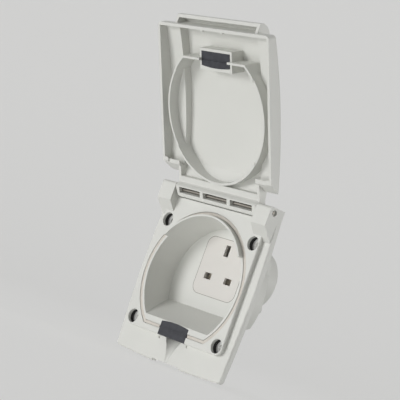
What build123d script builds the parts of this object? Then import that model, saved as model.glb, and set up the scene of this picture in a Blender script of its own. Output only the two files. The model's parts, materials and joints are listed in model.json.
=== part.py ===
from build123d import *
import math
import os

# A flush-fitting mains socket outlet with a hinged weather lid, drawn open as it rests.
# Millimetres. X runs right, Z up and +Y into the panel. Y = 0 is the face that meets the panel,
# and the origin is the centre of the four panel screws.

# Mounting plate
plate_t = 4.4
plate_half_w = 59.1
plate_bulge = 3.4
plate_bottom = -64.0
plate_bottom_bow = 1.8
plate_top = 68.2
plate_corner_r = 3.0
plate_edge_r = 1.2
notch_half_w = 15.2
notch_depth = 1.6
dimple_r = 1.0
dimple_depth = 0.8
dimple_x = 15.6
dimple_drop = 1.5

# Raised pad round the well
pad_h = 3.6
pad_half_w = 53.8
pad_bottom = -46.0
pad_corner_r = 6.0
pad_edge_r = 0.8

# Panel screw holes
screw_dx = 95.2
screw_dz = 78.6
screw_hole_r = 2.4
counterbore_r = 5.4
counterbore_floor = 1.7

# Well
mouth_r = 48.9
well_draft = 1.7
well_depth = 25.2
mouth_flat = -34.2
ramp_rise = 16.1
well_wall = 2.5
well_back_t = 3.0
body_r = 50.5
seal_groove_depth = 2.5
seal_groove_w = 2.8
seal_r = 52.1
seal_flat = -40.0
seal_side_gap = 0.3
seal_recess = 0.4
rain_lip_h = 3.8
rain_lip_t = 1.5
rain_lip_half_angle = 57.0

# Cord grommets and the trough below them
grommet_half_w = 15.3
grommet_top = -34.1
grommet_bottom = -46.0
grommet_t = 9.0
grommet_rib_h = 0.5
grommet_rib_w = 1.2
grommet_crown = 1.2
grommet_wall = 2.0
grommet_gap = 0.05
trough_deep = 7.0
trough_half_w = 8.9
trough_end_deep = 0.4
trough_end_half_w = 1.4
trough_top_lap = 0.5
trough_run_out = 1.3
trough_narrowing = 1.75
trough_shoaling = 2.5
trough_steps = 5
housing_skirt = 3.5

# Hinge
hinge_y = -9.9
hinge_z = 64.2
hinge_pin_r = 1.3
pin_run_gap = 0.05
pin_seat_gap = 0.02
pin_head_bore_r = 2.35
pin_head_bore_depth = 1.8
pin_chamfer = 0.3
lug_inner_x = 44.9
lug_outer_x = 60.0
lug_front = -15.1
lug_face_bottom = 53.3
lug_edge_r = 2.0
knuckle_r = 5.6
knuckle_recess_r = 6.4
knuckle_flat = -5.8
knuckle_flat_drop = 3.2
knuckle_end_x = 41.3
pocket_low = 61.1
pocket_high = 65.6
pocket_depth = 7.6
pocket_end_x = 40.4
pocket_mid_half_w = 13.3
pocket_web = 3.5
lid_open = 150.9

# Lid
rim_y = -7.1
wing_half_w = 60.0
wing_hinge_z = 43.2
wing_free_z = -64.1
wing_crown = -19.4
wing_hinge_y = -15.6
wing_free_y = -15.7
wing_wall = 2.4
lid_wall = 2.3
lid_corner_r = 3.0
band_half_w = 44.5
band_hinge_z = 43.0
band_hinge_y = -20.7
band_crown = -25.3
band_free_z = -60.0
band_free_y = -23.3
crown_z = -6.0
neck_front = -15.5
neck_back = -9.8
neck_cavity_z = 53.3
neck_slope_z = 58.0
hood_tip_z = -70.4
hood_tip_front = -17.5
hood_tip_back = -14.3
hood_root_y = -11.0
hood_bulge = 1.9
hood_inner_bulge = 0.95
seal_rib_t = 1.6
seal_rib_gap = 0.3
lid_grommet_face = -10.6
lid_grommet_t = 9.0
lid_grommet_stand = 0.4
lid_pad_gap = 0.4
nib_x = 10.7
nib_w = 2.4
nib_h = 1.9
nib_out = 0.9

# Socket module in the back of the well
module_z = 16.2
module_w = 46.6
module_h = 46.0
module_corner_r = 7.0
module_gap = 0.15
module_face_t = 2.2
flange_lap = 1.45
flange_corner_r = 9.0
flange_t = 2.2
ear_edge = 3.5
ear_end = 6.0
ear_h = 36.0
ear_corner_r = 4.0
pin_slot_x = 11.1
pin_slot_z = 8.2
pin_slot_w = 7.4
pin_slot_h = 5.0
earth_slot_z = 30.4
earth_slot_w = 4.9
earth_slot_h = 8.9
slot_pocket_half_w = 17.0
slot_pocket_h = 12.0
earth_pocket_w = 9.0
earth_pocket_h = 13.0

# Shutter and its return spring
shutter_travel = 6.0
shutter_gap = 0.3
shutter_t = 1.8
shutter_half_w = 16.0
shutter_h = 6.5
shutter_stem_w = 6.4
shutter_stem_top = 31.5
shutter_ramp = 5.5
chamber_half_w = 16.5
chamber_top_z = 33.5
chamber_depth = 4.8
spring_r = 1.6
spring_wire_r = 0.3
spring_turns = 6
spring_seat_gap = 0.05
spring_shut_length = 5.95

# Rear half of the module with its contacts and terminals
core_t = 5.8
drum_z = 17.5
core_r = 21.6
core_drum_t = 17.8
contact_t = 0.8
contact_grip = 3.5
contact_mouth = 5.0
contact_length = 10.0
contact_setback = 1.0
contact_bend = 2.5
contact_spread = 0.48
terminal_w = 7.4
terminal_h = 7.0
earth_terminal_w = 6.8
earth_terminal_h = 9.4
contact_gap = 0.1
wire_hole_r = 1.5
wire_hole_depth = 3.6
wire_channel_w = 4.0
wire_channel_depth = 5.7
wire_well_low = 14.0
wire_well_w = 9.0

# Screws
small_screw_r = 1.25
small_head_r = 2.4
small_head_t = 1.5
head_round_share = 0.45
recess_span_share = 1.2
recess_bar_share = 0.28
recess_depth_share = 0.55
terminal_screw_r = 1.4
terminal_screw_length = 4.0
terminal_head_r = 2.3
terminal_head_t = 1.6
screw_gap = 0.15
blind_skin = 0.7
body_screw_inset = 5.2
module_screw_gap = 0.35

# Rear cover, its gasket and the cord inlet
gasket_t = 0.8
gasket_land = 1.9
cover_flat = -17.6
cover_plate_t = 2.0
cover_wall = 2.0
cover_clear = 1.0
chamber_room = 4.4
drum_r = 24.8
drum_wall = 2.2
drum_room = 9.5
drum_edge_r = 2.0
cover_screw_inset = 1.74
cover_screw_angles = (-5.0, 25.4)
cover_ear_r = 3.4
inlet_boss_r = 8.0
inlet_boss_z = -10.5
inlet_boss_top = -5.5
inlet_hole_top = -2.5
inlet_hole_r = 5.5
inlet_bore_r = 3.7
inlet_lip_r = 6.9
inlet_lip_t = 1.2
inlet_gap = 0.05
clamp_half_w = 9.0
clamp_low = 0.5
clamp_high = 4.7
clamp_h = 5.2
clamp_screw_x = 6.4
clamp_screw_depth = 6.0
clamp_corner_r = 1.2
cord_r = 3.3
clamp_head_r = 1.9
clamp_head_t = 1.3

# Places worked out from the sizes above
pad_face = -plate_t - pad_h
well_back = pad_face + well_depth
body_back = well_back + well_back_t
ramp_slope = ramp_rise / well_depth
ramp_drop = well_wall * math.hypot(1, ramp_slope)
flange_w = module_w + 2 * flange_lap
flange_h = module_h + 2 * flange_lap
core_w = flange_w
core_h = flange_h
body_screw_x = core_w / 2 - body_screw_inset
body_screw_dz = core_h / 2 - body_screw_inset
module_screw_x = core_w / 2 + small_head_r + module_screw_gap
module_screw_dz = ear_h / 2 - ear_end
ear_w = 2 * (module_screw_x + ear_edge)
cover_r = (math.hypot(ear_w / 2 - ear_corner_r, module_z + ear_h / 2 - ear_corner_r)
           + ear_corner_r + cover_clear + gasket_land)
cover_screw_r = cover_r - cover_screw_inset
shutter_low = pin_slot_z - shutter_h / 2
chamber_floor_z = shutter_low - shutter_travel - spring_shut_length
flange_back = body_back + flange_t
chamber_back = flange_back + chamber_depth
core_step_y = flange_back + core_t
core_back_y = core_step_y + core_drum_t
contact_start = chamber_back + contact_setback
wire_hole_y = core_back_y - wire_hole_depth
wire_channel_y = core_back_y - wire_channel_depth
chamber_back_y = core_step_y + chamber_room
drum_back_y = core_back_y + drum_room
inlet_y = core_back_y
cover_front = body_back + gasket_t
cover_seat = cover_front + cover_plate_t
seal_face = pad_face + seal_recess
seal_rib_rim = seal_face - seal_rib_gap
screw_places = [(sx * screw_dx / 2, sz * screw_dz / 2) for sx in (-1, 1) for sz in (-1, 1)]
hinge_line = Axis((0, hinge_y, hinge_z), (1, 0, 0))

# Overlap given to cuts and joins, and the reach of cutting blocks that run past every piece
eps = 0.5
wide = 200.0


def prism_y(sketch, y_front, y_back):
    """A sketch drawn in x and z, pulled along Y from y_front to y_back."""
    plane = Plane(origin=(0, y_back, 0), x_dir=(1, 0, 0), z_dir=(0, -1, 0))
    return extrude(plane * sketch, amount=y_back - y_front, dir=(0, -1, 0))


def prism_x(sketch, x_low, x_high):
    """A sketch drawn in y and z, pulled along X from x_low to x_high."""
    plane = Plane(origin=(x_low, 0, 0), x_dir=(0, 1, 0), z_dir=(1, 0, 0))
    return extrude(plane * sketch, amount=x_high - x_low, dir=(1, 0, 0))


def block(x, y, z):
    """A box between the two values given for each axis."""
    size = [high - low for low, high in (x, y, z)]
    centre = [(low + high) / 2 for low, high in (x, y, z)]
    return Pos(*centre) * Box(*size)


def rod_y(r, y_low, y_high, x=0.0, z=0.0):
    base = Pos(x, y_low, z) * Rot(-90, 0, 0)
    return base * Cylinder(r, y_high - y_low, align=(Align.CENTER, Align.CENTER, Align.MIN))


def rod_x(r, x_low, x_high, y, z):
    base = Pos(x_low, y, z) * Rot(0, 90, 0)
    return base * Cylinder(r, x_high - x_low, align=(Align.CENTER, Align.CENTER, Align.MIN))


def rod_z(r, z_low, z_high, x, y):
    base = Pos(x, y, z_low)
    return base * Cylinder(r, z_high - z_low, align=(Align.CENTER, Align.CENTER, Align.MIN))


def both_sides(piece):
    return piece + mirror(piece, about=Plane.YZ)


def d_shape(r, flat):
    """A circle about the origin with its lower part cut off at the height flat."""
    return Circle(r) & Pos(0, flat + r) * Rectangle(2 * r + eps, 2 * r)


def d_ring(r, flat, width):
    """The outline of a d_shape, drawn as a band of the given width."""
    return d_shape(r + width / 2, flat - width / 2) - d_shape(r - width / 2, flat + width / 2)


def rounded(width, height, corner, x=0.0, z=0.0):
    return Pos(x, z) * RectangleRounded(width, height, corner)


def outline(*edges):
    return make_face(Curve() + list(edges))


def bowed(start, end, bulge):
    """An arc that stands off the straight line by bulge, to the right of the way it runs."""
    run = end[0] - start[0]
    rise = end[1] - start[1]
    share = bulge / math.hypot(run, rise)
    middle = ((start[0] + end[0]) / 2 + rise * share, (start[1] + end[1]) / 2 - run * share)
    return ThreePointArc(start, middle, end)


def screw(x, z, seat, length, r, head_r, head_t):
    """A pan-head screw put in from behind, with a crossed recess in its head."""
    body = rod_y(r, seat - length, seat, x, z) + rod_y(head_r, seat, seat + head_t, x, z)
    body = fillet(body.edges().sort_by(Axis.Y)[-1], head_t * head_round_share)
    arm = head_r * recess_span_share
    bar = head_r * recess_bar_share
    recess_floor = seat + head_t * (1 - recess_depth_share)
    top = seat + head_t + eps
    cross = block((x - arm / 2, x + arm / 2), (recess_floor, top), (z - bar / 2, z + bar / 2))
    cross += block((x - bar / 2, x + bar / 2), (recess_floor, top), (z - arm / 2, z + arm / 2))
    return body - cross


def ramp_z(y, below=0.0):
    """Height of the well's sloping floor at a depth y."""
    return mouth_flat + ramp_slope * (y - pad_face) - below


def above_ramp(y_front, y_back, below=0.0):
    front_z = ramp_z(y_front, below)
    back_z = ramp_z(y_back, below)
    profile = Polygon((y_front, front_z), (y_back, back_z), (y_back, wide), (y_front, wide), align=None)
    return prism_x(profile, -wide, wide)


def plate_outline():
    side_mid = (plate_bottom + plate_top) / 2
    right = ThreePointArc(
        (plate_half_w, plate_bottom), (plate_half_w + plate_bulge, side_mid), (plate_half_w, plate_top))
    top = Line((plate_half_w, plate_top), (-plate_half_w, plate_top))
    left = ThreePointArc(
        (-plate_half_w, plate_top), (-plate_half_w - plate_bulge, side_mid), (-plate_half_w, plate_bottom))
    bottom = ThreePointArc(
        (-plate_half_w, plate_bottom), (0, plate_bottom - plate_bottom_bow), (plate_half_w, plate_bottom))
    face = outline(right, top, left, bottom)
    return fillet(face.vertices(), plate_corner_r)


def make_plate():
    plate = prism_y(plate_outline(), -plate_t, 0)
    plate = fillet(plate.faces().sort_by(Axis.Y)[0].edges(), plate_edge_r)
    lowest = plate_bottom - plate_bottom_bow
    notch = block((-notch_half_w, notch_half_w), (-wide, wide), (lowest - eps, lowest + notch_depth))
    return plate - notch


def make_pad():
    middle = (pad_bottom + hinge_z) / 2
    face = Pos(0, middle) * Rectangle(2 * pad_half_w, hinge_z - pad_bottom)
    face = fillet(face.vertices().group_by(Axis.Y)[0], pad_corner_r)
    pad = prism_y(face, pad_face, 0)
    front = pad.faces().sort_by(Axis.Y)[0].edges()
    upper = front.sort_by(Axis.Z)[-1]
    return fillet([edge for edge in front if edge != upper], pad_edge_r)


def make_lug():
    slope_foot = lug_face_bottom + lug_front
    profile = Polygon(
        (0, slope_foot), (lug_front, lug_face_bottom), (lug_front, plate_top), (0, plate_top),
        align=None)
    lug = prism_x(profile, lug_inner_x, lug_outer_x)
    front_top = lug.edges().filter_by(Axis.X).sort_by(Axis.Z)[-2:].sort_by(Axis.Y)[0]
    lug = fillet(front_top, lug_edge_r)
    bore = rod_x(hinge_pin_r + pin_seat_gap, lug_inner_x - eps, lug_outer_x + eps, hinge_y, hinge_z)
    head = rod_x(pin_head_bore_r, lug_outer_x - pin_head_bore_depth, lug_outer_x + eps, hinge_y, hinge_z)
    return lug - bore - head


def well_space():
    back_r = mouth_r - well_draft
    cone = Cone(mouth_r, back_r, well_depth, align=(Align.CENTER, Align.CENTER, Align.MIN))
    space = Pos(0, pad_face, 0) * Rot(-90, 0, 0) * cone
    space += rod_y(mouth_r, pad_face - rain_lip_h - eps, pad_face)
    return space & above_ramp(pad_face - rain_lip_h - eps, well_back)


def rain_lip():
    """The inner wall of the seal groove, carried further forward over the top of the mouth."""
    ring = Circle(mouth_r + rain_lip_t) - Circle(mouth_r)
    reach = 2 * mouth_r
    half = math.radians(rain_lip_half_angle)
    sector = Polygon(
        (0, 0), (reach * math.sin(half), reach * math.cos(half)), (0, 2 * reach),
        (-reach * math.sin(half), reach * math.cos(half)), align=None)
    lip = prism_y(ring & sector, pad_face - rain_lip_h, pad_face + seal_groove_depth)
    return lip


def grommet_outline(gap):
    """The grommet's face: straight sides and foot, with a crowned upper edge."""
    half = grommet_half_w - gap
    low = grommet_bottom + gap
    high = grommet_top - grommet_crown - gap
    return outline(
        Line((-half, high), (-half, low)), Line((-half, low), (half, low)), Line((half, low), (half, high)),
        ThreePointArc((half, high), (0, high + grommet_crown), (-half, high)))


def trough():
    """A scoop that runs out from under the grommet to the plate's lower edge."""
    top = pad_bottom + trough_top_lap
    low = plate_bottom - plate_bottom_bow - trough_run_out
    sections = []
    for step in range(trough_steps + 1):
        gone = step / trough_steps
        half_w = trough_end_half_w + (trough_half_w - trough_end_half_w) * (1 - gone) ** trough_narrowing
        deep = trough_end_deep + (trough_deep - trough_end_deep) * (1 - gone) ** trough_shoaling
        r = (half_w ** 2 / deep + deep) / 2
        sections.append(Pos(0, -plate_t + deep - r, top + (low - top) * gone) * Circle(r))
    return loft(sections)


def make_front_frame():
    frame = make_plate() + make_pad() + both_sides(make_lug())
    wall_tube = rod_y(body_r, pad_face + pad_edge_r, body_back)
    frame += wall_tube & above_ramp(pad_face, body_back, ramp_drop)
    housing_half_w = grommet_half_w + grommet_wall
    housing_back = pad_face + grommet_t + grommet_wall + housing_skirt
    housing_low = grommet_bottom - grommet_wall - housing_skirt
    frame += block((-housing_half_w, housing_half_w), (-plate_t / 2, housing_back),
                   (housing_low, grommet_top + grommet_wall))
    frame -= well_space()
    frame -= prism_y(d_ring(seal_r, seal_flat, seal_groove_w), pad_face - eps, pad_face + seal_groove_depth)
    frame += rain_lip() - well_space()
    frame -= prism_y(grommet_outline(0), pad_face - eps, pad_face + grommet_t)
    frame -= trough()
    recess = rod_x(knuckle_recess_r, -lug_inner_x, lug_inner_x, hinge_y, hinge_z)
    recess += block((-lug_inner_x, lug_inner_x), (pad_face - eps, hinge_y + knuckle_recess_r),
                    (hinge_z, plate_top + eps))
    frame -= recess
    for x, z in screw_places:
        frame -= rod_y(counterbore_r, pad_face - eps, -counterbore_floor, x, z)
        frame -= rod_y(screw_hole_r, -counterbore_floor - eps, eps, x, z)
    for side in (-1, 1):
        frame -= rod_y(dimple_r, -plate_t - eps, -plate_t + dimple_depth, side * dimple_x,
                       pad_bottom - dimple_drop)
    window = rounded(module_w, module_h, module_corner_r, 0, module_z)
    frame -= prism_y(window, well_back - eps, body_back + eps)
    for x, z in module_screw_places() + cover_screws_xz():
        frame -= rod_y(small_screw_r, well_back + blind_skin, body_back + eps, x, z)
    return frame


def module_screw_places():
    return [(sx * module_screw_x, module_z + sz * module_screw_dz) for sx in (-1, 1) for sz in (-1, 1)]


def body_screw_places():
    return [(sx * body_screw_x, module_z + sz * body_screw_dz) for sx in (-1, 1) for sz in (-1, 1)]


def cover_screws_xz():
    places = []
    for angle in cover_screw_angles:
        x = cover_screw_r * math.cos(math.radians(angle))
        z = cover_screw_r * math.sin(math.radians(angle))
        places += [(-x, z), (x, z)]
    return places


def make_well_seal():
    width = seal_groove_w - 2 * seal_side_gap
    seal = prism_y(d_ring(seal_r, seal_flat, width), seal_face, pad_face + seal_groove_depth)
    gap = grommet_half_w + seal_side_gap
    return seal - block((-gap, gap), (-wide, wide), (grommet_bottom, grommet_top))


def make_base_grommet():
    body = prism_y(grommet_outline(grommet_gap), pad_face, pad_face + grommet_t)
    half = grommet_half_w - grommet_gap
    rib = block((-half, half), (pad_face - grommet_rib_h, pad_face),
                (seal_flat - grommet_rib_w / 2, seal_flat + grommet_rib_w / 2))
    return body + rib


def make_hinge_pin():
    end = lug_outer_x - pin_head_bore_depth / 2
    pin = rod_x(hinge_pin_r, -end, end, hinge_y, hinge_z)
    return chamfer(pin.edges().filter_by(GeomType.CIRCLE), pin_chamfer)


def wing_profile(rim, inset=0.0):
    """Side view of the lid's side panels: bevelled hinge end, bowed front, square free end."""
    bevel = inset * math.sqrt(2)
    hinge_front = wing_hinge_y + inset
    crown = wing_crown + inset
    free_front = wing_free_y + inset
    foot = wing_hinge_z - bevel + (rim_y - rim)
    head = wing_hinge_z - bevel + (rim_y - hinge_front)
    free = wing_free_z + inset
    return outline(
        Line((rim, foot), (hinge_front, head)),
        ThreePointArc((hinge_front, head), (crown, crown_z), (free_front, free)),
        Line((free_front, free), (rim, free)), Line((rim, free), (rim, foot)))


def band_profile():
    """Side view of the deeper middle of the lid, from its neck to the hood over the cord."""
    shoulder = (neck_back, wing_hinge_z + (rim_y - neck_back))
    hinge_end = (band_hinge_y, band_hinge_z)
    free_end = (band_free_y, band_free_z)
    hood_tip = (hood_tip_front, hood_tip_z)
    return outline(
        Line((rim_y, wing_hinge_z), shoulder), Line(shoulder, (neck_back, neck_slope_z)),
        Line((neck_back, neck_slope_z), (neck_front, neck_slope_z)),
        Line((neck_front, neck_slope_z), hinge_end),
        ThreePointArc(hinge_end, (band_crown, crown_z), free_end),
        bowed(free_end, hood_tip, hood_bulge),
        Line(hood_tip, (hood_tip_back, hood_tip_z)),
        Line((hood_tip_back, hood_tip_z), (hood_root_y, wing_free_z)),
        Line((hood_root_y, wing_free_z), (rim_y, wing_free_z)),
        Line((rim_y, wing_free_z), (rim_y, wing_hinge_z)))


def band_cavity():
    """Side view of the hollow inside the middle of the lid and its hood, one wall's thickness in."""
    neck_end = (neck_front + lid_wall, neck_cavity_z)
    hinge_end = (band_hinge_y + lid_wall, band_hinge_z)
    free_end = (band_free_y + lid_wall, band_free_z)
    hood_tip = (hood_tip_front, hood_tip_z + lid_wall)
    return outline(
        Line((0, neck_cavity_z), neck_end), Line(neck_end, hinge_end),
        ThreePointArc(hinge_end, (band_crown + lid_wall, crown_z), free_end),
        bowed(free_end, hood_tip, hood_inner_bulge),
        Line(hood_tip, (0, hood_tip[1])), Line((0, hood_tip[1]), (0, neck_cavity_z)))


def knuckle():
    barrel = rod_x(knuckle_r, -band_half_w, band_half_w, hinge_y, hinge_z)
    neck = prism_x(Polygon(
        (neck_back, neck_cavity_z), (neck_back, neck_slope_z), (knuckle_flat, hinge_z - knuckle_flat_drop),
        (knuckle_flat, hinge_z), (neck_front, hinge_z), (neck_front, neck_cavity_z), align=None),
        -band_half_w, band_half_w)
    strip = barrel + neck
    strip -= block((-wide, wide), (knuckle_flat, 0), (hinge_z - 2 * knuckle_r, hinge_z + 2 * knuckle_r))
    top = hinge_z + knuckle_r
    taper = prism_y(Polygon(
        (-band_half_w, neck_cavity_z - eps), (band_half_w, neck_cavity_z - eps), (band_half_w, pocket_low),
        (knuckle_end_x, top), (-knuckle_end_x, top), (-band_half_w, pocket_low), align=None), -wide, 0)
    strip &= taper
    floor = knuckle_flat - pocket_depth
    side = block((pocket_mid_half_w + pocket_web, pocket_end_x), (floor, 0), (pocket_low, pocket_high))
    middle = block((-pocket_mid_half_w, pocket_mid_half_w), (floor, 0), (pocket_low, pocket_high))
    return strip - both_sides(side) - middle


def lid_grommet_holder():
    half = grommet_half_w + grommet_wall
    rim = lid_grommet_face - lid_grommet_stand
    return block((-half, half), (-wide, rim), (grommet_bottom - grommet_wall, grommet_top + grommet_wall))


def make_lid_closed():
    wings = prism_x(wing_profile(rim_y), -wing_half_w, wing_half_w)
    wings = fillet(wings.edges().filter_by(Axis.Y), lid_corner_r)
    wings = fillet(wings.edges().filter_by(GeomType.CIRCLE).sort_by(Axis.Y)[:2], lid_corner_r)
    band = prism_x(band_profile(), -band_half_w, band_half_w)
    rib = prism_y(d_ring(seal_r, seal_flat, seal_rib_t), band_crown, seal_rib_rim)
    rib_by_neck = rib & block((-wide, wide), (neck_front + lid_wall, 0), (wing_hinge_z - lid_wall, wide))
    space = prism_x(wing_profile(0.0, lid_wall), -wing_half_w + lid_wall, wing_half_w - lid_wall)
    space += prism_x(band_cavity(), -band_half_w + lid_wall, band_half_w - lid_wall)
    end_wall = block((-wide, wide), (-wide, 0), (wing_free_z, wing_free_z + lid_wall))
    shell = wings + band + rib_by_neck - (space - rib - lid_grommet_holder() - end_wall)
    shell -= prism_y(grommet_outline(0), lid_grommet_face - lid_grommet_t, 0)
    shell -= both_sides(block((band_half_w - lid_wall, pad_half_w + lid_pad_gap), (pad_face - lid_pad_gap, 0),
                              (pad_bottom, hinge_z)))
    end = wing_free_z + lid_wall
    for side in (-1, 1):
        shell += block((side * nib_x - nib_w / 2, side * nib_x + nib_w / 2), (rim_y - nib_h, rim_y),
                       (end - eps, end + nib_out))
    shell += knuckle()
    bore = rod_x(hinge_pin_r + pin_run_gap, -wide, wide, hinge_y, hinge_z)
    return shell - bore


def make_lid_grommet_closed():
    body = prism_y(grommet_outline(grommet_gap), lid_grommet_face - lid_grommet_t, lid_grommet_face)
    half = grommet_half_w - grommet_gap
    slit = block((-half - eps, half + eps), (lid_grommet_face - grommet_rib_h, lid_grommet_face + eps),
                 (seal_flat - grommet_rib_w / 2, seal_flat + grommet_rib_w / 2))
    return body - slit


def opened(piece):
    return piece.rotate(hinge_line, -lid_open)


def slots(y_front, y_back):
    pin_slot = prism_y(Pos(pin_slot_x, pin_slot_z) * Rectangle(pin_slot_w, pin_slot_h), y_front, y_back)
    earth_slot = prism_y(Pos(0, earth_slot_z) * Rectangle(earth_slot_w, earth_slot_h), y_front, y_back)
    return both_sides(pin_slot) + earth_slot


def ear_outline(grow=0.0):
    ears = rounded(ear_w + 2 * grow, ear_h + 2 * grow, ear_corner_r + grow, 0, module_z)
    return ears + rounded(flange_w + 2 * grow, flange_h + 2 * grow, flange_corner_r + grow, 0, module_z)


def make_socket_front():
    gap = 2 * module_gap
    face = rounded(module_w - gap, module_h - gap, module_corner_r - module_gap, 0, module_z)
    front = prism_y(face, well_back, body_back + eps)
    front += prism_y(ear_outline(), body_back, flange_back)
    pocket_front = well_back + module_face_t
    front -= prism_y(Pos(0, pin_slot_z) * Rectangle(2 * slot_pocket_half_w, slot_pocket_h),
                     pocket_front, flange_back + eps)
    front -= prism_y(Pos(0, earth_slot_z) * Rectangle(earth_pocket_w, earth_pocket_h),
                     pocket_front, flange_back + eps)
    front -= slots(well_back - eps, flange_back + eps)
    for x, z in module_screw_places():
        front -= rod_y(small_screw_r + screw_gap, body_back - eps, flange_back + eps, x, z)
    for x, z in body_screw_places():
        front -= rod_y(small_screw_r, well_back + blind_skin, flange_back + eps, x, z)
    return front


def terminal_places():
    live = ("live", pin_slot_x, pin_slot_z)
    neutral = ("neutral", -pin_slot_x, pin_slot_z)
    return live, neutral, ("earth", 0.0, earth_slot_z)


def terminal_size(name):
    if name == "earth":
        return earth_terminal_w, earth_terminal_h
    return terminal_w, terminal_h


def make_socket_back():
    body = prism_y(rounded(core_w, core_h, flange_corner_r, 0, module_z), flange_back, core_step_y)
    body += rod_y(core_r, core_step_y - eps, core_back_y, 0, drum_z)
    body -= block((-chamber_half_w, chamber_half_w), (flange_back - eps, chamber_back),
                  (chamber_floor_z, chamber_top_z))
    body -= prism_y(Pos(0, earth_slot_z) * Rectangle(earth_pocket_w, earth_pocket_h),
                    flange_back - eps, chamber_back)
    for name, x, z in terminal_places():
        width, height = terminal_size(name)
        body -= block((x - width / 2 - contact_gap, x + width / 2 + contact_gap), (chamber_back - eps, wide),
                      (z - height / 2 - contact_gap, z + height / 2 + contact_gap))
    half = wire_channel_w / 2
    for side in (-1, 1):
        body -= block((side * pin_slot_x - half, side * pin_slot_x + half), (wire_channel_y, wide),
                      (drum_z - drum_r, pin_slot_z))
    body -= block((-wire_well_w / 2, wire_well_w / 2), (wire_channel_y, wide), (wire_well_low, earth_slot_z))
    body -= rod_z(cord_r, drum_z - drum_r, wire_well_low + eps, 0, core_back_y)
    for x, z in body_screw_places():
        body -= rod_y(small_screw_r + screw_gap, flange_back - eps, core_step_y + eps, x, z)
        body -= rod_y(small_head_r + screw_gap, core_step_y, wide, x, z)
    for side in (-1, 1):
        body -= rod_y(small_screw_r, core_back_y - clamp_screw_depth, core_back_y + eps, side * clamp_screw_x,
                      (clamp_low + clamp_high) / 2)
    return body


def make_contact(name, x, z):
    """A folded spring clip for one plug pin, on a block with a wire hole and a clamping screw."""
    width, height = terminal_size(name)
    block_y = contact_start + contact_length
    grip = contact_grip / 2
    mouth = contact_mouth / 2
    bend = contact_start + contact_bend
    root = grip + contact_spread
    leaf = Polygon(
        (contact_start, mouth), (bend, grip), (block_y, root),
        (block_y, root + contact_t), (bend, grip + contact_t), (contact_start, mouth + contact_t),
        align=None)
    if name == "earth":
        half = earth_slot_h / 2 - contact_t / 2
        plane = Plane(origin=(x, 0, z - half), x_dir=(0, 1, 0), z_dir=(0, 0, 1))
        clip = extrude(plane * leaf, amount=2 * half, dir=(0, 0, 1))
        clip += mirror(clip, about=Plane(origin=(x, 0, z), z_dir=(1, 0, 0)))
    else:
        half = pin_slot_w / 2 - contact_t / 2
        plane = Plane(origin=(x - half, 0, z), x_dir=(0, 1, 0), z_dir=(1, 0, 0))
        clip = extrude(plane * leaf, amount=2 * half, dir=(1, 0, 0))
        clip += mirror(clip, about=Plane(origin=(x, 0, z), z_dir=(0, 0, 1)))
    body = block((x - width / 2, x + width / 2), (block_y - eps / 2, core_back_y),
                 (z - height / 2, z + height / 2))
    body -= rod_z(wire_hole_r, z - height, z + height, x, wire_hole_y)
    body -= rod_y(terminal_screw_r, core_back_y - terminal_screw_length, core_back_y + eps, x, z)
    return clip + body


def make_shutter():
    front = flange_back + shutter_gap
    back = chamber_back - shutter_gap
    plate = block((-shutter_half_w, shutter_half_w), (front, front + shutter_t),
                  (shutter_low, shutter_low + shutter_h))
    ramp_foot = shutter_stem_top - shutter_ramp
    stem = prism_x(Polygon(
        (front, shutter_low), (back, shutter_low), (back, shutter_stem_top), (front, ramp_foot), align=None),
        -shutter_stem_w / 2, shutter_stem_w / 2)
    return plate + stem


def make_shutter_spring():
    """A coil under the shutter that pushes it back up over the two lower slots."""
    low = chamber_floor_z + spring_wire_r + spring_seat_gap
    high = shutter_low - spring_wire_r - spring_seat_gap
    height = high - low
    path = Helix(pitch=height / spring_turns, height=height, radius=spring_r)
    section = Plane(origin=path @ 0, z_dir=path % 0) * Circle(spring_wire_r)
    coil = sweep(section, path=path, is_frenet=True)
    middle_y = (flange_back + chamber_back) / 2
    return Pos(0, middle_y, low) * coil


def make_gasket():
    ring = d_shape(cover_r, cover_flat) - ear_outline(cover_clear)
    gasket = prism_y(ring, body_back, cover_front)
    for x, z in cover_screws_xz():
        gasket -= rod_y(small_screw_r + screw_gap, body_back - eps, cover_front + eps, x, z)
    return gasket


def make_rear_cover():
    plate = prism_y(d_shape(cover_r, cover_flat), cover_front, cover_seat)
    for x, z in cover_screws_xz():
        plate += rod_y(cover_ear_r, cover_front, cover_seat, x, z)
    chamber = prism_y(ear_outline(cover_clear + cover_wall) & Circle(cover_r), cover_front, chamber_back_y)
    drum = rod_y(drum_r, chamber_back_y - eps, drum_back_y, 0, drum_z)
    drum = fillet(drum.edges().sort_by(Axis.Y)[-1], drum_edge_r)
    boss = rod_z(inlet_boss_r, inlet_boss_z, inlet_boss_top, 0, inlet_y)
    cover = plate + chamber + drum + boss
    cover -= prism_y(ear_outline(cover_clear), cover_front - eps, chamber_back_y - cover_wall)
    cover -= rod_y(drum_r - drum_wall, chamber_back_y - cover_wall - eps, drum_back_y - drum_wall, 0, drum_z)
    cover -= rod_z(inlet_hole_r, inlet_boss_z - eps, inlet_hole_top, 0, inlet_y)
    for x, z in cover_screws_xz():
        cover -= rod_y(small_screw_r + screw_gap, cover_front - eps, cover_seat + eps, x, z)
        cover -= rod_y(small_head_r + screw_gap, cover_seat, chamber_back_y + eps, x, z)
    return cover


def make_cable_grommet():
    """A rubber bush pushed up into the cord inlet as far as its lip."""
    inner_top = drum_z - core_r - inlet_gap
    body = rod_z(inlet_hole_r - inlet_gap, inlet_boss_z - inlet_lip_t, inner_top, 0, inlet_y)
    body += rod_z(inlet_lip_r, inlet_boss_z - inlet_lip_t, inlet_boss_z, 0, inlet_y)
    return body - rod_z(inlet_bore_r, -wide, wide, 0, inlet_y)


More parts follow.
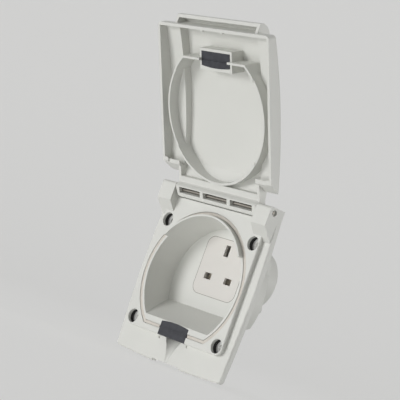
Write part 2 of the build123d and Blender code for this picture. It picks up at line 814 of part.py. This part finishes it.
def make_cord_clamp():
    bar = block((-clamp_half_w, clamp_half_w), (core_back_y, core_back_y + clamp_h), (clamp_low, clamp_high))
    bar = fillet(bar.edges().filter_by(Axis.Z).sort_by(Axis.Y)[-2:], clamp_corner_r)
    bar -= rod_z(cord_r, -wide, wide, 0, core_back_y)
    for side in (-1, 1):
        bar -= rod_y(small_screw_r + screw_gap, core_back_y - eps, core_back_y + clamp_h + eps,
                     side * clamp_screw_x, (clamp_low + clamp_high) / 2)
    return bar


def screw_set(places, seat, length, r=small_screw_r, head_r=small_head_r, head_t=small_head_t):
    return Compound(children=[screw(x, z, seat, length, r, head_r, head_t) for x, z in places])


def make_parts():
    parts = {
        "front_frame": make_front_frame(),
        "well_seal": make_well_seal(),
        "base_grommet": make_base_grommet(),
        "hinge_pin": make_hinge_pin(),
        "lid": opened(make_lid_closed()),
        "lid_grommet": opened(make_lid_grommet_closed()),
        "socket_front": make_socket_front(),
        "socket_back": make_socket_back(),
        "shutter": make_shutter(),
        "shutter_spring": make_shutter_spring(),
        "rear_cover_gasket": make_gasket(),
        "rear_cover": make_rear_cover(),
        "cable_grommet": make_cable_grommet(),
        "cord_clamp": make_cord_clamp(),
    }
    for name, x, z in terminal_places():
        parts[name + "_contact"] = make_contact(name, x, z)
        parts[name + "_terminal_screw"] = screw(
            x, z, core_back_y, terminal_screw_length, terminal_screw_r, terminal_head_r, terminal_head_t)
    blind = body_back - well_back - blind_skin
    parts["module_screws"] = screw_set(module_screw_places(), flange_back, flange_t + blind)
    parts["socket_body_screws"] = screw_set(body_screw_places(), core_step_y, core_t + flange_t + blind)
    parts["rear_cover_screws"] = screw_set(cover_screws_xz(), cover_seat, cover_seat - body_back + blind)
    clamp_z = (clamp_low + clamp_high) / 2
    parts["cord_clamp_screws"] = screw_set(
        [(-clamp_screw_x, clamp_z), (clamp_screw_x, clamp_z)], core_back_y + clamp_h,
        clamp_h + clamp_screw_depth, small_screw_r, clamp_head_r, clamp_head_t)
    return parts


os.makedirs("parts", exist_ok=True)
for node, piece in make_parts().items():
    export_step(piece, f"parts/{node}.step")
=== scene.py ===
import json
import math

import bmesh
import bpy
from mathutils import Matrix, Vector


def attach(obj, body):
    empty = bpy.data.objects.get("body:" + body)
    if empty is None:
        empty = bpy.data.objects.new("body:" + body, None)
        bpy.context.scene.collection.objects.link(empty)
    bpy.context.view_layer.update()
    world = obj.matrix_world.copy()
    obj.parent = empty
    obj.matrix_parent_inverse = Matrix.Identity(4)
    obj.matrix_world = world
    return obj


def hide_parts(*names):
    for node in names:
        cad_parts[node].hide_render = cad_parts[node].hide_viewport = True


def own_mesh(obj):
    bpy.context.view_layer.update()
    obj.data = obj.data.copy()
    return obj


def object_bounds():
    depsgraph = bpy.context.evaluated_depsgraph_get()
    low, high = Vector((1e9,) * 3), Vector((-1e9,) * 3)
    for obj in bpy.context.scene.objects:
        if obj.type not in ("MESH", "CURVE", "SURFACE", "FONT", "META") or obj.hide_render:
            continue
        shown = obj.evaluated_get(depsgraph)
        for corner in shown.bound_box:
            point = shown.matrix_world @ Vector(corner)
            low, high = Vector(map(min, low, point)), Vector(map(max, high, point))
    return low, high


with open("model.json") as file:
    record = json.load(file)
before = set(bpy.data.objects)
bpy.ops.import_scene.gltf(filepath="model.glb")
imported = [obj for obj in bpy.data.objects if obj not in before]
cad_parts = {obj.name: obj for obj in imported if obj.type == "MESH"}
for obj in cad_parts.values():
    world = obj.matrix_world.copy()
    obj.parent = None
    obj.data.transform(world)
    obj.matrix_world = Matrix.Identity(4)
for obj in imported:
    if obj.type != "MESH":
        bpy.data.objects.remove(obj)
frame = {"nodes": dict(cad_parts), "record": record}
cad_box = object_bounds()
scene = bpy.context.scene
nodes = frame["nodes"]
MM = 0.001

# Camera at the photograph's viewpoint
CAMERA_PLACE = Vector((781.6, -754.2, -27.3)) * MM
CAMERA_RIGHT = Vector((0.6604, 0.6707, 0.3378))
CAMERA_UP = Vector((-0.1761, -0.2990, 0.9379))
CAMERA_BACK = Vector((0.7300, -0.6788, -0.0794))
SENSOR_MM = 36.0
LENS_MM = 130.36
CLIP_NEAR = 0.01
CLIP_FAR = 100.0

# Floor that curves up into a backdrop, in metres
FLOOR_GAP = 1.2 * MM
SWEEP_HALF_WIDTH = 6.0
SWEEP_FRONT = 4.0
SWEEP_BACK = 1.6
SWEEP_RADIUS = 1.4
SWEEP_HEIGHT = 5.0
SWEEP_STEPS = 32
FLOOR_COLOUR = (0.80, 0.80, 0.79)
FLOOR_ROUGHNESS = 0.9
FLOOR_SPECULAR = 0.1
BACKDROP_GLOW = 0.62

# Light from all round
WORLD_COLOUR = (1.0, 1.0, 1.0)
WORLD_LIGHT = 0.26
WORLD_SHOWN = 1.0

# Round lamps turned to one point: place and width in metres, and watts
LAMP_TARGET = Vector((0.0, 0.0, 0.05))
LAMPS = {
    "key": ((-1.15, -2.45, -0.10), 1.2, 30.5),
    "fill": ((1.85, -1.90, -0.15), 1.1, 3.2),
    "low": ((-0.10, -1.20, -0.95), 0.9, 7.2),
    "rim": ((2.30, 1.15, 0.20), 1.35, 22.0),
    "top": ((-0.10, -0.30, 1.60), 1.0, 2.0),
}

# Plastic: slow drift of tone, sheen, soft waves and fine grain, as scales per metre
DRIFT_SCALE = 28.0
SHEEN_SCALE = 160.0
WAVE_SCALE = 70.0
WAVE_STRENGTH = 0.05
WAVE_DEPTH = 0.3 * MM
GRAIN_SCALE = 2600.0
GRAIN_STRENGTH = 0.12
FACE_GRAIN_STRENGTH = 0.06
GRAIN_DEPTH = 0.03 * MM
PLASTIC_IOR = 1.5

# Rubber: dusty bloom and pebbled skin
BLOOM_SCALE = 240.0
BLOOM_ROUGH = 0.6
SKIN_SCALE = 1500.0
SKIN_STRENGTH = 0.25
SKIN_DEPTH = 0.05 * MM

# Metal: streaks that run along one axis
STREAK_ALONG = 60.0
STREAK_ACROSS = 2200.0
STREAK_STRENGTH = 0.15
STREAK_DEPTH = 0.02 * MM
X_AXIS = 0
Y_AXIS = 1

# Rubber sleeve and plastic washer in each screw hole: outer and inner radius, front and back. The washer
# is paler than the white plastic: painted light, for the brightness seen deep in each hole
SCREW_DX = 95.2 * MM
SCREW_DZ = 78.6 * MM
SLEEVE = (5.35 * MM, 4.90 * MM, -5.4 * MM, -2.65 * MM)
WASHER = (5.30 * MM, 2.45 * MM, -2.6 * MM, -1.72 * MM)
RING_STEPS = 64

# Painted shade round the socket face: a dark ring standing in for the shadow in the joint's narrow gap;
# outer and inner reach from the face's edge, front and back
FACE_HALF_W = 23.15 * MM
FACE_HALF_H = 22.85 * MM
FACE_CORNER_R = 6.85 * MM
FACE_MIDDLE_Z = 16.2 * MM
SEAM_PAINTED_SHADE = (0.18 * MM, -0.14 * MM, 17.16 * MM, 17.60 * MM)
CORNER_STEPS = 16


def opaque(colour):
    return (*colour, 1.0)


def make_camera():
    data = bpy.data.cameras.new("camera")
    data.sensor_width = SENSOR_MM
    data.lens = LENS_MM
    data.clip_start = CLIP_NEAR
    data.clip_end = CLIP_FAR
    camera = bpy.data.objects.new("camera", data)
    scene.collection.objects.link(camera)
    turn = Matrix((CAMERA_RIGHT, CAMERA_UP, CAMERA_BACK)).transposed()
    camera.matrix_world = Matrix.Translation(CAMERA_PLACE) @ turn.to_4x4()
    scene.camera = camera


def seen_directly(tree):
    """One where a ray comes from the camera, a mirror surface or glass, and zero for plain light."""
    path = tree.nodes.new("ShaderNodeLightPath")
    first = tree.nodes.new("ShaderNodeMath")
    first.operation = "MAXIMUM"
    second = tree.nodes.new("ShaderNodeMath")
    second.operation = "MAXIMUM"
    tree.links.new(path.outputs["Is Camera Ray"], first.inputs[0])
    tree.links.new(path.outputs["Is Glossy Ray"], first.inputs[1])
    tree.links.new(first.outputs[0], second.inputs[0])
    tree.links.new(path.outputs["Is Transmission Ray"], second.inputs[1])
    return second.outputs[0]


def mixed(tree, share, first, second):
    """The first shader where share is zero, and the second where it is one."""
    mix = tree.nodes.new("ShaderNodeMixShader")
    tree.links.new(share, mix.inputs["Fac"])
    tree.links.new(first.outputs[0], mix.inputs[1])
    tree.links.new(second.outputs[0], mix.inputs[2])
    return mix.outputs[0]


def background(tree, colour, strength):
    node = tree.nodes.new("ShaderNodeBackground")
    node.inputs["Color"].default_value = opaque(colour)
    node.inputs["Strength"].default_value = strength
    return node


def make_world():
    """Plain light from all round, which shows as the backdrop's own colour."""
    world = bpy.data.worlds.new("studio")
    scene.world = world
    world.use_nodes = True
    tree = world.node_tree
    tree.nodes.clear()
    light = background(tree, WORLD_COLOUR, WORLD_LIGHT)
    shown = background(tree, FLOOR_COLOUR, WORLD_SHOWN)
    out = tree.nodes.new("ShaderNodeOutputWorld")
    tree.links.new(mixed(tree, seen_directly(tree), light, shown), out.inputs["Surface"])


def sweep_profile():
    """Distance behind the part and height of each line of the sweep: flat, rounded, then upright."""
    low = cad_box[0].z - FLOOR_GAP
    profile = [(-SWEEP_FRONT, low)]
    for step in range(SWEEP_STEPS + 1):
        turn = math.pi / 2 * step / SWEEP_STEPS
        away = SWEEP_BACK + SWEEP_RADIUS * math.sin(turn)
        profile.append((away, low + SWEEP_RADIUS * (1 - math.cos(turn))))
    return profile + [(SWEEP_BACK + SWEEP_RADIUS, low + SWEEP_HEIGHT)]


def floor_material():
    """A lit surface, partly mixed with its own flat colour where it is seen directly."""
    material = bpy.data.materials.new("floor")
    material.use_nodes = True
    tree = material.node_tree
    shader = tree.nodes["Principled BSDF"]
    shader.inputs["Base Color"].default_value = opaque(FLOOR_COLOUR)
    shader.inputs["Roughness"].default_value = FLOOR_ROUGHNESS
    shader.inputs["Specular IOR Level"].default_value = FLOOR_SPECULAR
    glow = tree.nodes.new("ShaderNodeEmission")
    glow.inputs["Color"].default_value = opaque(FLOOR_COLOUR)
    part = tree.nodes.new("ShaderNodeMath")
    part.operation = "MULTIPLY"
    part.inputs[1].default_value = BACKDROP_GLOW
    tree.links.new(seen_directly(tree), part.inputs[0])
    out = tree.nodes["Material Output"]
    tree.links.new(mixed(tree, part.outputs[0], shader, glow), out.inputs["Surface"])
    return material


def make_floor():
    """A pale floor that curves up into a backdrop, square to the way the camera looks."""
    away = Vector((-CAMERA_BACK.x, -CAMERA_BACK.y, 0.0)).normalized()
    across = Vector((away.y, -away.x, 0.0))
    corners = []
    for distance, height in sweep_profile():
        for side in (-SWEEP_HALF_WIDTH, SWEEP_HALF_WIDTH):
            corners.append(away * distance + across * side + Vector((0.0, 0.0, height)))
    faces = [(i, i + 1, i + 3, i + 2) for i in range(0, len(corners) - 2, 2)]
    mesh = bpy.data.meshes.new("floor")
    mesh.from_pydata(corners, [], faces)
    mesh.shade_smooth()
    mesh.materials.append(floor_material())
    floor = bpy.data.objects.new("floor", mesh)
    scene.collection.objects.link(floor)
    floor.visible_shadow = False


def make_lights():
    for name, (place, width, watts) in LAMPS.items():
        data = bpy.data.lights.new(name, "AREA")
        data.shape = "DISK"
        data.size = width
        data.energy = watts
        lamp = bpy.data.objects.new(name, data)
        scene.collection.objects.link(lamp)
        lamp.location = place
        lamp.rotation_mode = "QUATERNION"
        lamp.rotation_quaternion = (LAMP_TARGET - Vector(place)).to_track_quat("-Z", "Y")


def new_material(name):
    material = bpy.data.materials.new(name)
    material.use_nodes = True
    tree = material.node_tree
    shader = tree.nodes["Principled BSDF"]
    place = tree.nodes.new("ShaderNodeTexCoord").outputs["Object"]
    return material, tree, shader, place


def noise(tree, place, scale, detail=3.0, rough=0.5):
    node = tree.nodes.new("ShaderNodeTexNoise")
    node.inputs["Scale"].default_value = scale
    node.inputs["Detail"].default_value = detail
    node.inputs["Roughness"].default_value = rough
    tree.links.new(place, node.inputs["Vector"])
    return node.outputs["Fac"]


def ramp(tree, value, low, high, low_at=0.3, high_at=0.7):
    node = tree.nodes.new("ShaderNodeValToRGB")
    node.color_ramp.elements[0].position = low_at
    node.color_ramp.elements[0].color = opaque(low)
    node.color_ramp.elements[1].position = high_at
    node.color_ramp.elements[1].color = opaque(high)
    tree.links.new(value, node.inputs["Fac"])
    return node.outputs["Color"]


def spread(tree, value, low, high):
    node = tree.nodes.new("ShaderNodeMapRange")
    node.inputs["To Min"].default_value = low
    node.inputs["To Max"].default_value = high
    tree.links.new(value, node.inputs["Value"])
    return node.outputs["Result"]


def bump(tree, height, strength, depth, normal=None):
    node = tree.nodes.new("ShaderNodeBump")
    node.inputs["Strength"].default_value = strength
    node.inputs["Distance"].default_value = depth
    tree.links.new(height, node.inputs["Height"])
    if normal is not None:
        tree.links.new(normal, node.inputs["Normal"])
    return node.outputs["Normal"]


def moulded_plastic(name, pale, deep, low_rough, high_rough, grain=GRAIN_STRENGTH):
    """Moulded plastic: slow drifts of tone, patchy sheen, and a fine spark-eroded grain."""
    material, tree, shader, place = new_material(name)
    drift = noise(tree, place, DRIFT_SCALE, detail=4.0)
    tree.links.new(ramp(tree, drift, deep, pale), shader.inputs["Base Color"])
    sheen = noise(tree, place, SHEEN_SCALE, detail=5.0)
    tree.links.new(spread(tree, sheen, low_rough, high_rough), shader.inputs["Roughness"])
    fine = noise(tree, place, GRAIN_SCALE, detail=2.0)
    soft = noise(tree, place, WAVE_SCALE, detail=2.0)
    rough = bump(tree, fine, grain, GRAIN_DEPTH)
    tree.links.new(bump(tree, soft, WAVE_STRENGTH, WAVE_DEPTH, rough), shader.inputs["Normal"])
    shader.inputs["IOR"].default_value = PLASTIC_IOR
    return material


def rubber(name, pale, deep, low_rough, high_rough):
    """Moulded rubber: matt, with a dusty bloom and a pebbled skin."""
    material, tree, shader, place = new_material(name)
    bloom = noise(tree, place, BLOOM_SCALE, detail=6.0, rough=BLOOM_ROUGH)
    tree.links.new(ramp(tree, bloom, deep, pale), shader.inputs["Base Color"])
    tree.links.new(spread(tree, bloom, high_rough, low_rough), shader.inputs["Roughness"])
    skin = noise(tree, place, SKIN_SCALE)
    tree.links.new(bump(tree, skin, SKIN_STRENGTH, SKIN_DEPTH), shader.inputs["Normal"])
    return material


def plated_metal(name, pale, deep, axis, low_rough, high_rough):
    """Plated or drawn metal: fine streaks along one axis."""
    material, tree, shader, place = new_material(name)
    stretch = tree.nodes.new("ShaderNodeMapping")
    scales = [STREAK_ACROSS] * 3
    scales[axis] = STREAK_ALONG
    stretch.inputs["Scale"].default_value = scales
    tree.links.new(place, stretch.inputs["Vector"])
    streaks = noise(tree, stretch.outputs["Vector"], 1.0, detail=4.0)
    tree.links.new(ramp(tree, streaks, deep, pale), shader.inputs["Base Color"])
    tree.links.new(spread(tree, streaks, low_rough, high_rough), shader.inputs["Roughness"])
    tree.links.new(bump(tree, streaks, STREAK_STRENGTH, STREAK_DEPTH), shader.inputs["Normal"])
    shader.inputs["Metallic"].default_value = 1.0
    return material


def make_materials():
    """Each material by name: its pale and deep tones, then its lowest and highest roughness."""
    return {
        "white_plastic": moulded_plastic(
            "white_plastic", (0.705, 0.708, 0.672), (0.685, 0.688, 0.652), 0.38, 0.48),
        "module_plastic": moulded_plastic(
            "module_plastic", (0.695, 0.675, 0.64), (0.675, 0.655, 0.62), 0.34, 0.44, FACE_GRAIN_STRENGTH),
        "shutter_plastic": moulded_plastic(
            "shutter_plastic", (0.80, 0.73, 0.62), (0.74, 0.67, 0.56), 0.45, 0.55),
        # Dark colour of the ring round the socket face: painted shade for the joint's gap
        "seam_painted_shade": moulded_plastic("seam_painted_shade", (0.22, 0.20, 0.17), (0.19, 0.17, 0.145), 0.6, 0.7),
        # Paler than the white plastic: painted light for the bright floor of each screw hole
        "washer_plastic_painted_light": moulded_plastic(
            "washer_plastic_painted_light", (0.86, 0.86, 0.84), (0.82, 0.82, 0.80), 0.35, 0.45),
        "sleeve_rubber": rubber("sleeve_rubber", (0.014, 0.014, 0.013), (0.009, 0.009, 0.009), 0.6, 0.8),
        "dark_rubber": rubber("dark_rubber", (0.030, 0.032, 0.041), (0.017, 0.018, 0.024), 0.55, 0.75),
        "seal_rubber": rubber("seal_rubber", (0.69, 0.65, 0.59), (0.62, 0.58, 0.52), 0.55, 0.7),
        "brass": plated_metal("brass", (0.80, 0.60, 0.27), (0.66, 0.47, 0.19), Y_AXIS, 0.25, 0.4),
        "zinc_steel": plated_metal(
            "zinc_steel", (0.31, 0.29, 0.26), (0.21, 0.195, 0.175), X_AXIS, 0.42, 0.58),
    }


def ring_piece(name, loops, material):
    """A closed ring through loops of equally many points, riding on the base."""
    steps = len(loops[0])
    faces = []
    for ring in range(len(loops)):
        here = ring * steps
        there = (ring + 1) % len(loops) * steps
        for step in range(steps):
            after = (step + 1) % steps
            faces.append((here + step, here + after, there + after, there + step))
    mesh = bpy.data.meshes.new(name)
    mesh.from_pydata([point for loop in loops for point in loop], [], faces)
    shape = bmesh.new()
    shape.from_mesh(mesh)
    bmesh.ops.recalc_face_normals(shape, faces=shape.faces)
    shape.to_mesh(mesh)
    shape.free()
    mesh.materials.append(material)
    piece = bpy.data.objects.new(name, mesh)
    scene.collection.objects.link(piece)
    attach(piece, "base")


def four_loops(loop, size):
    """The loops at the corners of a ring's section, from its outer and inner measure, front and back."""
    outer, inner, front, back = size
    return [loop(outer, front), loop(inner, front), loop(inner, back), loop(outer, back)]


def make_screw_hole_rings(name, size, material):
    """One ring in each of the pad's four screw holes."""
    for number, (sx, sz) in enumerate(((-1, -1), (1, -1), (-1, 1), (1, 1)), 1):
        middle = Vector((sx * SCREW_DX / 2, 0.0, sz * SCREW_DZ / 2))

        def circle(r, y):
            turns = [2 * math.pi * step / RING_STEPS for step in range(RING_STEPS)]
            return [middle + Vector((r * math.cos(turn), y, r * math.sin(turn))) for turn in turns]

        ring_piece(f"{name}_{number}", four_loops(circle, size), material)


def face_loop(grow, y):
    """The socket face's rounded outline, moved outward by grow, at depth y."""
    r = FACE_CORNER_R + grow
    loop = []
    for corner, (sx, sz) in enumerate(((1, 1), (-1, 1), (-1, -1), (1, -1))):
        x = sx * (FACE_HALF_W - FACE_CORNER_R)
        z = FACE_MIDDLE_Z + sz * (FACE_HALF_H - FACE_CORNER_R)
        for step in range(CORNER_STEPS + 1):
            turn = math.pi / 2 * (corner + step / CORNER_STEPS)
            loop.append(Vector((x + r * math.cos(turn), y, z + r * math.sin(turn))))
    return loop


def make_spring(material):
    """The shutter's spring, copied from the CAD part and riding on the base; the real one closes up as the
    shutter goes down.
    """
    spring = bpy.data.objects.new("closing_spring", nodes["shutter_spring"].data.copy())
    spring.data.materials.clear()
    spring.data.materials.append(material)
    scene.collection.objects.link(spring)
    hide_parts("shutter_spring")
    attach(spring, "base")
    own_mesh(spring)


def dress_cad(materials):
    slots = {part["node"]: part["material_slot"] for part in frame["record"]["subparts"]}
    for name, node in nodes.items():
        node.data.materials.clear()
        node.data.materials.append(materials[slots[name]])


make_camera()
make_world()
make_floor()
make_lights()
materials = make_materials()
dress_cad(materials)
make_spring(materials["zinc_steel"])
# Dark ring round the socket face: painted shade of the joint's narrow gap
ring_piece("seam_painted_shade", four_loops(face_loop, SEAM_PAINTED_SHADE), materials["seam_painted_shade"])
make_screw_hole_rings("screw_sleeve", SLEEVE, materials["sleeve_rubber"])
# Washers in a paler plastic: painted light deep in each screw hole
make_screw_hole_rings("screw_washer", WASHER, materials["washer_plastic_painted_light"])

scene.view_settings.view_transform = "Standard"
